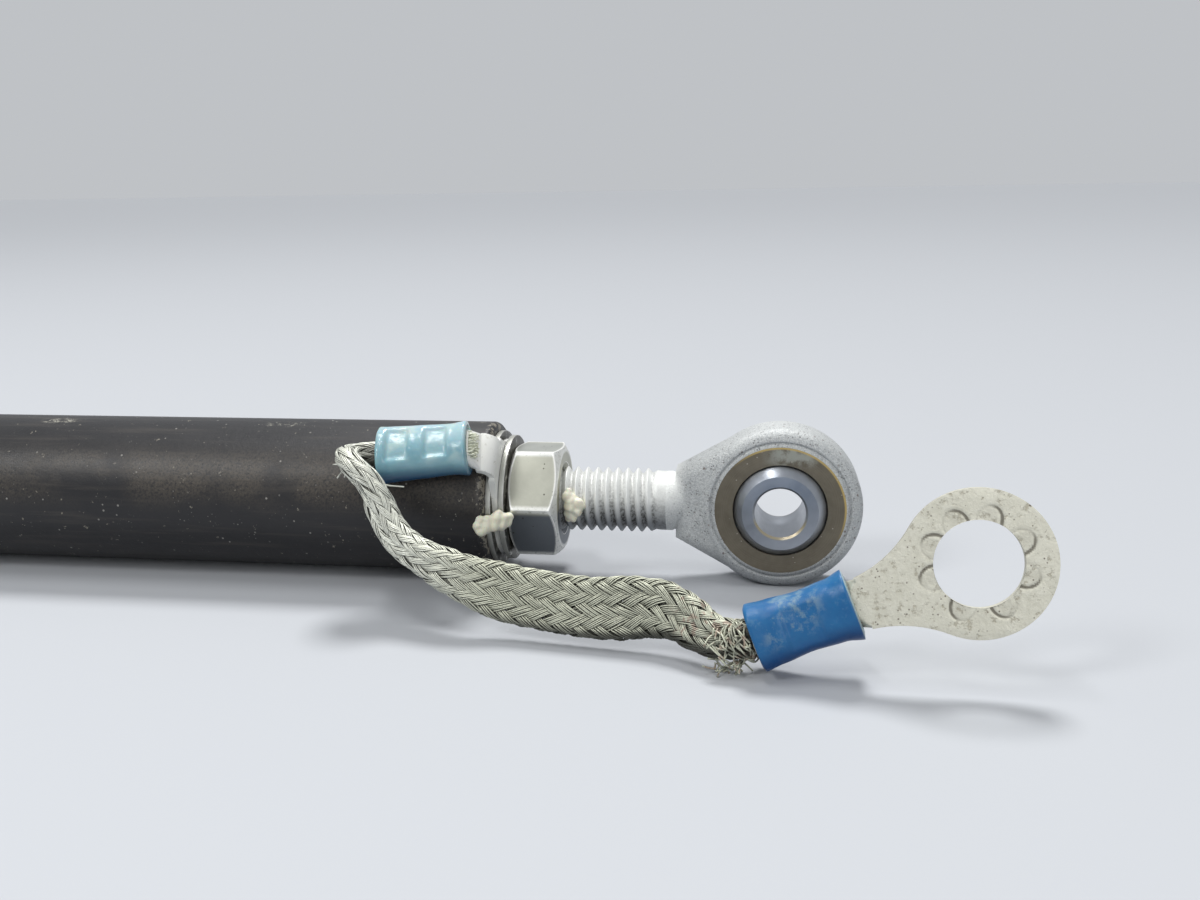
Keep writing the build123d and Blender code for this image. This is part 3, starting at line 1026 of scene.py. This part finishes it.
def mark_wire_darkening(mesh, wires, skins):
    """Keeps, for the wires' finish, how dark each point of their skin is painted: painted shade on the
    side of each wire that faces into the weave and under crossings, in the fold's hollow and on the
    underside, and darker further along and at the free mouth.
    """
    places = [place for wire in wires for place in wire]
    facts = [fact for skin in skins for fact in skin]
    tree = kdtree.KDTree(len(places))
    for index, place in enumerate(places):
        tree.insert(place, index)
    tree.balance()
    wire_darkening = mesh.attributes.new("wire_darkening", "FLOAT", "POINT")
    for vertex in mesh.vertices:
        place, index, _ = tree.find(vertex.co / MM)
        outward, wave, share = facts[index]
        rise = (vertex.co / MM - place).dot(outward) / wire_radius
        # Painted shade: a wire is darker on its side towards the inside of the weave and where it dips
        # under a crossing
        depth = smoothstep(-rise, -0.95, 0.0) + 0.3 * smoothstep(-wave, -0.3, 1.0)
        # Painted shade in the fold's hollow and on the braid's underside; darker further along, mostly
        # away from the top, and at the free mouth
        fold = (1 - smoothstep(share, *fold_shade)) * (1 - smoothstep(outward.z, 0.5, 0.95))
        under = smoothstep(share, *underside_shade) * (1 - smoothstep(outward.z, -0.45, 0.55))
        later = smoothstep(share, *later_darkening) * (1 - 0.8 * smoothstep(outward.z, -0.1, 0.6))
        mouth = smoothstep(share, *mouth_darkening)
        depth += 0.85 * fold + 0.4 * mouth + 0.3 * under + 0.36 * later
        wire_darkening.data[vertex.index].value = min(depth, 1.0)


def woven_wires(direction, chance):
    """The wires of all bundles that wind one way, two over and two under the others."""
    wires = []
    skins = []
    shift = 0.5 if direction > 0 else 2.5
    for bundle in range(bundles_each_way):
        for strand in range(wires_per_bundle):
            offset = (strand + 0.5) / wires_per_bundle - 0.5
            lane = bundle + offset * bundle_fill + chance.uniform(-0.02, 0.02)
            looseness = chance.uniform(-0.03, 0.04)
            lift_height = weave_lift + bundle_crown * (1 - (2 * offset) ** 2)
            wire = []
            skin = []
            for index in range(wire_samples + 1):
                phase = braid.phase[index]
                crossing = lane + direction * 2 * phase * bundles_each_way
                wave = cos(pi / 2 * (crossing + bundle - shift))
                wave = 1.5 * wave - 0.5 * wave**3
                lift = lift_height * wave + looseness - wire_radius
                stray = noise.noise(Vector((index * 0.09, bundle * 3.7, direction * 5.0)))
                tangle = noise.noise(Vector((index * 0.16, bundle * 3.7 + strand, 9.0)))
                place = (lane + stray * bundle_stray + tangle * 0.1) / bundles_each_way
                turn = place + direction * phase
                wire.append(braid.surface(index, turn, lift + stray * 0.06))
                outward = braid.surface(index, turn, lift + 0.1) - braid.surface(index, turn, lift)
                skin.append((outward.normalized(), wave, index / wire_samples))
            wires.append(wire)
            skins.append(skin)
    return wires, skins


def add_braid():
    """Both sets of bundles, woven through each other."""
    chance = random.Random(3)
    layers = []
    for name, direction in (("braid_bundles_right", 1), ("braid_bundles_left", -1)):
        wires, skins = woven_wires(direction, chance)
        mesh = wires_to_mesh(name, wires, wire_radius)
        mark_wire_darkening(mesh, wires, skins)
        layers.append(add_piece(name, mesh, "tube_assembly", "tinned_braid"))
    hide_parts("bonding_braid")
    return layers


def wander(start, direction, length, curl, chance, steps=9):
    """A loose wire end that sets off one way and bends as it goes."""
    place = start.copy()
    heading = direction.normalized()
    bend = Vector([chance.uniform(-1, 1) for _ in range(3)]) * curl
    wire = [place.copy()]
    for _ in range(steps):
        bend += Vector([chance.uniform(-1, 1) for _ in range(3)]) * curl * 0.5
        heading = (heading + bend / steps).normalized()
        place = place + heading * (length / steps)
        place.z = max(place.z, wire_radius - eye_radius)
        wire.append(place.copy())
    return wire


def add_loose_wires():
    """Broken and cut wires: a tangle where the braid enters the free sleeve, and a few strays."""
    chance = random.Random(11)
    wires = []
    start, along, across, out = free_barrel
    for _ in range(tangled_wires):
        back = chance.uniform(0.1, 3.9)
        turn = chance.uniform(-0.4, pi + 0.4)
        swirl = chance.uniform(-1.6, 1.6)
        slide = chance.uniform(-1.4, 1.4)
        puff = chance.uniform(0.0, 0.5)
        wire = []
        for step in range(tangled_steps + 1):
            share = step / tangled_steps
            angle = turn + swirl * share
            reach = back + slide * share
            loose = puff * sin(pi * share) + 0.1
            place = start - along * reach + across * cos(angle) * (1.75 + loose)
            wire.append(place + out * sin(angle) * (1.25 + loose))
        wires.append(wire)
    for _ in range(hanging_wires):
        place = start - along * chance.uniform(0.6, 4.2) - Vector((0, 0, chance.uniform(1.4, 2.5)))
        heading = Vector((chance.uniform(-1, 1), chance.uniform(-0.6, 0.2), chance.uniform(-0.5, 0.3)))
        wires.append(wander(place, heading, chance.uniform(0.8, 1.8), 1.2, chance))
    start, along, across, out = clamped_barrel
    for _ in range(fold_wires):
        place = start - along * chance.uniform(0.2, 3.0) + across * chance.uniform(-1.4, 1.2)
        place += out * chance.uniform(-0.8, 1.1)
        heading = -along + Vector([chance.uniform(-0.7, 0.7) for _ in range(3)])
        wires.append(wander(place, heading, chance.uniform(0.8, 2.2), 1.3, chance))
    wires.append([Vector((-49.9, -13.0, 7.4)), Vector((-50.5, -12.9, 7.2)), Vector((-51.2, -12.8, 7.1))])
    wires.append([Vector((-45.3, -14.4, 5.4)), Vector((-44.2, -13.7, 5.0)), Vector((-42.8, -13.0, 4.7))])
    mesh = wires_to_mesh("loose_wires", wires, wire_radius)
    wire_darkening = mesh.attributes.new("wire_darkening", "FLOAT", "POINT")
    for vertex in mesh.vertices:
        wire_darkening.data[vertex.index].value = max(0.28 + 0.6 * noise.noise(vertex.co / MM * 1.1), 0.0)
    return add_piece("loose_wires", mesh, "tube_assembly", "tinned_braid")


def add_strand_ends(name, barrel, sleeve_length, proud):
    """The cut ends of the strands, which stand a little out of the crimped barrel."""
    chance = random.Random(name)
    start, along, across, out = barrel
    wires = []
    for row in range(strand_rows):
        for column in range(strand_columns):
            side = (column - (strand_columns - 1) / 2) * strand_spacing + chance.uniform(-0.05, 0.05)
            lift = (row - (strand_rows - 1) / 2) * strand_spacing + chance.uniform(-0.05, 0.05)
            length = strand_root + proud + chance.uniform(-0.35, 0.35)
            base = start + across * side + out * lift + along * (sleeve_length - strand_root)
            tip = base + along * length
            tip += across * chance.uniform(-0.15, 0.15) + out * chance.uniform(-0.1, 0.2)
            wires.append([base, base.lerp(tip, 0.6), tip])
    mesh = wires_to_mesh(name, wires, wire_radius)
    return add_piece(name, mesh, "tube_assembly", "tinned_braid")


def power(value, exponent):
    """A power that keeps the sign, which squares off a round section."""
    return abs(value) ** exponent * (1 if value >= 0 else -1)


def rounded(place):
    """A place as a key that survives the way into a mesh and back."""
    return tuple(round(part, 4) for part in place)


def add_sleeve(name, node, slot, barrel, length, stations, bites, squareness, setback=0.0):
    """A crimped plastic sleeve: stations are (share, width, height), bites (from, to, depth)."""
    start, along, across, out = barrel
    start = start + along * setback
    length = length - setback
    widths = [(share, width) for share, width, _ in stations]
    heights = [(share, height) for share, _, height in stations]
    pressed = {}

    def surface(u, v):
        inside = v > outer_rows
        reach = length * (1 - (v - outer_rows) / (1 - outer_rows) if inside else v / outer_rows)
        edge = min(reach, length - reach)
        drop = max(sleeve_lip - edge, 0)
        rounding = sleeve_lip - sqrt(max(sleeve_lip**2 - drop**2, 0))
        inward = sleeve_wall if inside else rounding
        share = reach / length
        half_width = between(widths, share) / 2 - inward
        half_height = between(heights, share) / 2 - inward
        angle = 2 * pi * u
        side = power(cos(angle), squareness) * half_width
        lift = power(sin(angle), squareness) * half_height
        press = 0.0
        for first, last, depth in bites:
            window = smoothstep(reach, first, first + 0.3) * (1 - smoothstep(reach, last - 0.3, last))
            window *= 1 - smoothstep(abs(side), half_width * 0.42, half_width * 0.74)
            press = max(press, window * depth)
        lift -= press * (1 if lift > 0 else -1) * min(abs(lift) / (half_height * 0.6), 1.0)
        ripple = 0.05 * noise.noise(Vector((reach * 0.8, side * 0.8, lift * 0.8)))
        place = start + along * reach + across * side + out * (lift + ripple)
        pressed[rounded(place)] = press
        return place

    mesh = finished_mesh(wrapped(sleeve_columns, sleeve_rows, surface), name)
    thin = mesh.attributes.new("thin", "FLOAT", "POINT")
    lip = mesh.attributes.new("lip", "FLOAT", "POINT")
    for vertex in mesh.vertices:
        place = vertex.co / MM
        thin.data[vertex.index].value = pressed.get(rounded(place), 0.0)
        lip.data[vertex.index].value = smoothstep((place - start).dot(along), length - 0.35, length)
    piece = add_piece(name, mesh, "tube_assembly", slot)
    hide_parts(node)
    return piece


def worn_copy(node, width, sharpness):
    """A node's shape with its corners worn round, and those corners in the second finish."""
    shape = node_copy(node)
    bmesh.ops.dissolve_limit(
        shape, angle_limit=radians(0.3), verts=shape.verts, edges=shape.edges
    )
    corners = [
        edge
        for edge in shape.edges
        if len(edge.link_faces) == 2 and edge.calc_face_angle() > radians(sharpness)
    ]
    made = bmesh.ops.bevel(
        shape,
        geom=corners,
        offset=width * MM,
        affect="EDGES",
        segments=3,
        profile=0.5,
        material=-1,
        clamp_overlap=True,
    )
    for face in made["faces"]:
        face.material_index = 1
    return shape


def add_worn(node, slot, finish, mesh, sharpness):
    """A worn copy that takes its node's place, with bright corners that are partly wear and partly a
    painted highlight.
    """
    mesh.set_sharp_from_angle(angle=radians(sharpness))
    piece = add_piece(mesh.name, mesh, "tube_assembly", slot, finish, "bright_edge")
    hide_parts(node)
    return piece


def add_softened(node, slot, width, finish=None):
    """A copy of a metal piece with its corners worn round."""
    mesh = finished_mesh(worn_copy(node, width, 25.0), f"{node}_worn")
    return add_worn(node, slot, finish or slot, mesh, 50)


def add_lacquer(name, drops):
    """A dried lump of torque lacquer, made of drops of (place, radius) that run together."""
    shape = bmesh.new()
    for place, size in drops:
        bmesh.ops.create_icosphere(
            shape, subdivisions=3, radius=size * MM, matrix=Matrix.Translation(Vector(place) * MM)
        )
    for vertex in shape.verts:
        spot = vertex.co / MM * lump_grain
        shift = Vector([noise.noise(spot + Vector((0, 0, part * 31.7))) for part in range(3)])
        vertex.co += shift * lump_height * MM
    piece = add_piece(name, finished_mesh(shape, name), "tube_assembly", "torque_lacquer")
    fused = piece.modifiers.new("fused", "REMESH")
    fused.mode = "VOXEL"
    fused.voxel_size = lump_grid * MM
    fused.use_smooth_shade = True
    settled = piece.modifiers.new("settled", "SMOOTH")
    settled.factor = 0.6
    settled.iterations = 8
    return piece


def add_free_ring():
    """The free ring terminal, with the marks that a toothed washer once pressed into its face."""
    shape = worn_copy("free_terminal", 0.14, 50.0)
    face = free_barrel[3]
    right = (Vector((1, 0, 0)) - face * face.x).normalized()
    up = right.cross(-face)
    for direction, first_cut in ((right, -neck_cuts), (up, -ring_cuts)):
        for step in range(first_cut, ring_cuts + 1):
            near = [
                one
                for one in shape.faces
                if one.normal.dot(face) > 0.99
                and (one.calc_center_median() / MM - ring_centre).dot(face) > -0.1
            ]
            inner = [edge for one in near for edge in one.edges]
            corners = [vertex for one in near for vertex in one.verts]
            bmesh.ops.bisect_plane(
                shape,
                geom=list(dict.fromkeys(near + inner + corners)),
                plane_co=(ring_centre + direction * step * face_cut) * MM,
                plane_no=direction,
                dist=1e-6,
            )
    shape.faces.ensure_lookup_table()
    marked = shape.verts.layers.float.new("pressed")
    front = {vertex for one in shape.faces if one.normal.dot(face) > 0.99 for vertex in one.verts}
    for vertex in front:
        offset = vertex.co / MM - ring_centre
        if offset.dot(face) < -0.1:
            continue
        depth = tooth_mark(offset.dot(right), offset.dot(up))
        vertex[marked] = depth
        vertex.co -= face * depth * mark_depth * MM
    mesh = finished_mesh(shape, "free_terminal_worn")
    return add_worn("free_terminal", "tinned_copper", "tinned_copper", mesh, 40)


def tooth_mark(right, up):
    """How deep the mark of the nearest tooth is there, from 0 to 1."""
    rise = sqrt(right**2 + up**2) - ring_hole_radius
    if rise > mark_height * 1.5:
        return 0.0
    half = mark_width / 2
    turn = min(half, mark_height)
    deepest = 0.0
    for angle in mark_angles:
        middle = Vector((cos(radians(angle)), sin(radians(angle))))
        if middle.dot(Vector((right, up))) <= 0:
            continue
        side = middle.x * up - middle.y * right
        reach = Vector((side, max(rise, 0.0)))
        if reach.y < mark_height - turn:
            gap = abs(abs(reach.x) - half)
        else:
            gap = abs((reach - Vector((0, mark_height - turn))).length - turn)
        groove = 1 - smoothstep(gap, 0.02, 0.26)
        groove *= 0.35 + 0.65 * smoothstep(-side, -half * 0.6, half)
        inside = 0.25 * (1 - smoothstep(abs(side), half * 0.4, half)) * (rise < mark_height)
        deepest = max(deepest, groove, inside)
    return deepest


add_softened("near_jam_nut", "nut_plating", 0.3)
add_softened("far_jam_nut", "nut_plating", 0.3)
add_softened("inner_washer", "washer_plating", 0.12)
add_softened("outer_washer", "washer_plating", 0.12)
add_softened("rod_terminal", "tinned_copper", 0.08, "highlit_tin")
free_ring = add_free_ring()

add_sleeve(
    "clamped_sleeve",
    "rod_terminal_sleeve",
    "pale_blue_nylon",
    clamped_barrel,
    clamped_sleeve_length,
    ((0.0, 6.9, 5.5), (0.12, 6.7, 5.4), (0.45, 6.4, 5.2), (0.8, 6.1, 5.0), (1.0, 6.5, 5.4)),
    ((1.0, 3.9, 0.5), (5.5, 8.4, 0.5)),
    0.88,
    setback=0.7,
)
free_sleeve = add_sleeve(
    "free_sleeve",
    "free_terminal_sleeve",
    "blue_vinyl",
    free_barrel,
    free_sleeve_length,
    ((0.0, 6.9, 5.4), (0.2, 6.5, 5.2), (0.5, 6.0, 4.8), (0.8, 6.3, 5.0), (1.0, 7.1, 5.6)),
    ((3.2, 7.0, 0.2),),
    0.78,
)

braid_layers = add_braid()
loose_wires = add_loose_wires()
clamped_ends = add_strand_ends("clamped_strand_ends", clamped_barrel, clamped_sleeve_length, 0.7)
free_ends = add_strand_ends("free_strand_ends", free_barrel, free_sleeve_length, 0.5)
clamped_barrel[0] * MM
[point * MM for point in line_along(braid_route, cord_steps)]

add_lacquer(
    "lacquer_on_tube_and_nut",
    (
        ((-34.9, -9.35, -1.5), 0.75), ((-35.2, -9.4, -0.9), 0.7), ((-35.0, -9.4, -0.2), 0.55),
        ((-34.3, -9.1, -1.0), 0.85), ((-34.2, -9.0, -0.4), 0.7), ((-33.5, -8.7, -1.0), 0.85),
        ((-33.3, -8.6, -0.3), 0.8), ((-32.7, -8.3, -1.0), 0.8), ((-32.5, -8.1, -0.3), 0.75),
        ((-32.9, -8.3, 0.3), 0.5), ((-32.1, -7.8, -0.9), 0.65), ((-31.9, -7.6, -0.2), 0.55),
    ),
)
add_lacquer(
    "lacquer_on_thread",
    (
        ((-25.4, -3.8, 1.3), 0.75), ((-25.0, -3.85, 0.8), 0.85), ((-24.2, -3.95, 0.5), 0.75),
        ((-23.7, -4.0, 0.2), 0.5), ((-25.0, -3.9, 0.0), 0.9), ((-24.3, -3.95, -0.4), 0.75),
        ((-25.2, -3.85, -0.8), 0.75), ((-24.8, -3.85, -1.3), 0.6), ((-25.4, -3.7, -1.5), 0.45),
        ((-25.3, -3.6, 2.0), 0.45),
    ),
)


def add_floor():
    """A pale floor, which throws less light on the object than its colour would."""
    shape = bmesh.new()
    bmesh.ops.create_grid(shape, x_segments=1, y_segments=1, size=4.0)
    bmesh.ops.translate(shape, verts=shape.verts, vec=(0, 0, -eye_radius * MM))
    floor = bpy.data.objects.new("floor", finished_mesh(shape, "floor", smooth=False))
    bpy.context.scene.collection.objects.link(floor)
    finish = Finish("pale_floor", 0.8)
    finish.paint(finish.mix(finish.seen(), (0.20, 0.22, 0.26), (0.57, 0.59, 0.62)))
    floor.data.materials.append(finish.material)


def add_camera():
    """The camera, turned by its yaw, pitch and roll."""
    level = Vector((cos(camera_yaw), -sin(camera_yaw), 0))
    forward = Vector((sin(camera_yaw), cos(camera_yaw), 0)) * cos(camera_pitch)
    forward.z = -sin(camera_pitch)
    upright = level.cross(forward)
    right = level * cos(camera_roll) + upright * sin(camera_roll)
    up = upright * cos(camera_roll) - level * sin(camera_roll)
    lens = bpy.data.cameras.new("camera")
    lens.lens = camera_lens
    lens.sensor_width = camera_sensor
    lens.clip_start = 0.01
    camera = bpy.data.objects.new("camera", lens)
    turn = Matrix((right, up, -forward)).transposed().to_4x4()
    camera.matrix_world = Matrix.Translation(camera_place * MM) @ turn
    bpy.context.scene.collection.objects.link(camera)
    bpy.context.scene.camera = camera


def add_lamp(name, kind, place, aim, strength, **settings):
    """A lamp at place, in metres, turned to aim."""
    lamp = bpy.data.lights.new(name, kind)
    lamp.energy = strength
    for setting, value in settings.items():
        setattr(lamp, setting, value)
    holder = bpy.data.objects.new(name, lamp)
    direction = (Vector(aim) - Vector(place)).to_track_quat("-Z", "Y")
    holder.matrix_world = Matrix.Translation(Vector(place)) @ direction.to_matrix().to_4x4()
    bpy.context.scene.collection.objects.link(holder)


def add_world():
    """Even light from all round, brighter only where it is looked at."""
    world = bpy.data.worlds.new("studio")
    bpy.context.scene.world = world
    world.use_nodes = True
    wiring = Wiring(world.node_tree)
    background = world.node_tree.nodes["Background"]
    wiring.feed(background.inputs["Color"], (0.90, 0.93, 0.97))
    strength = wiring.seen() * (shown_strength - fill_strength) + fill_strength
    wiring.feed(background.inputs["Strength"], strength)


add_floor()
add_camera()
add_lamp("overhead", "SUN", (0, 0.25, 0.5), (0, 0, 0), 2.0, angle=radians(16))
add_lamp("side_softbox", "AREA", (-0.377, -0.326, 0.413), (-0.05, 0, 0), 1.0, size=0.16)
add_lamp(
    "ceiling_tube", "AREA", (-0.29, -0.06, 0.96), (-0.03, 0, 0), 2.0,
    shape="RECTANGLE", size=0.45, size_y=0.09,
)
add_lamp("front_softbox", "AREA", (0.35, -0.85, 0.45), (-0.02, 0, 0), 2.2, size=0.5)
add_world()

scene = bpy.context.scene
scene.view_settings.view_transform = "Standard"
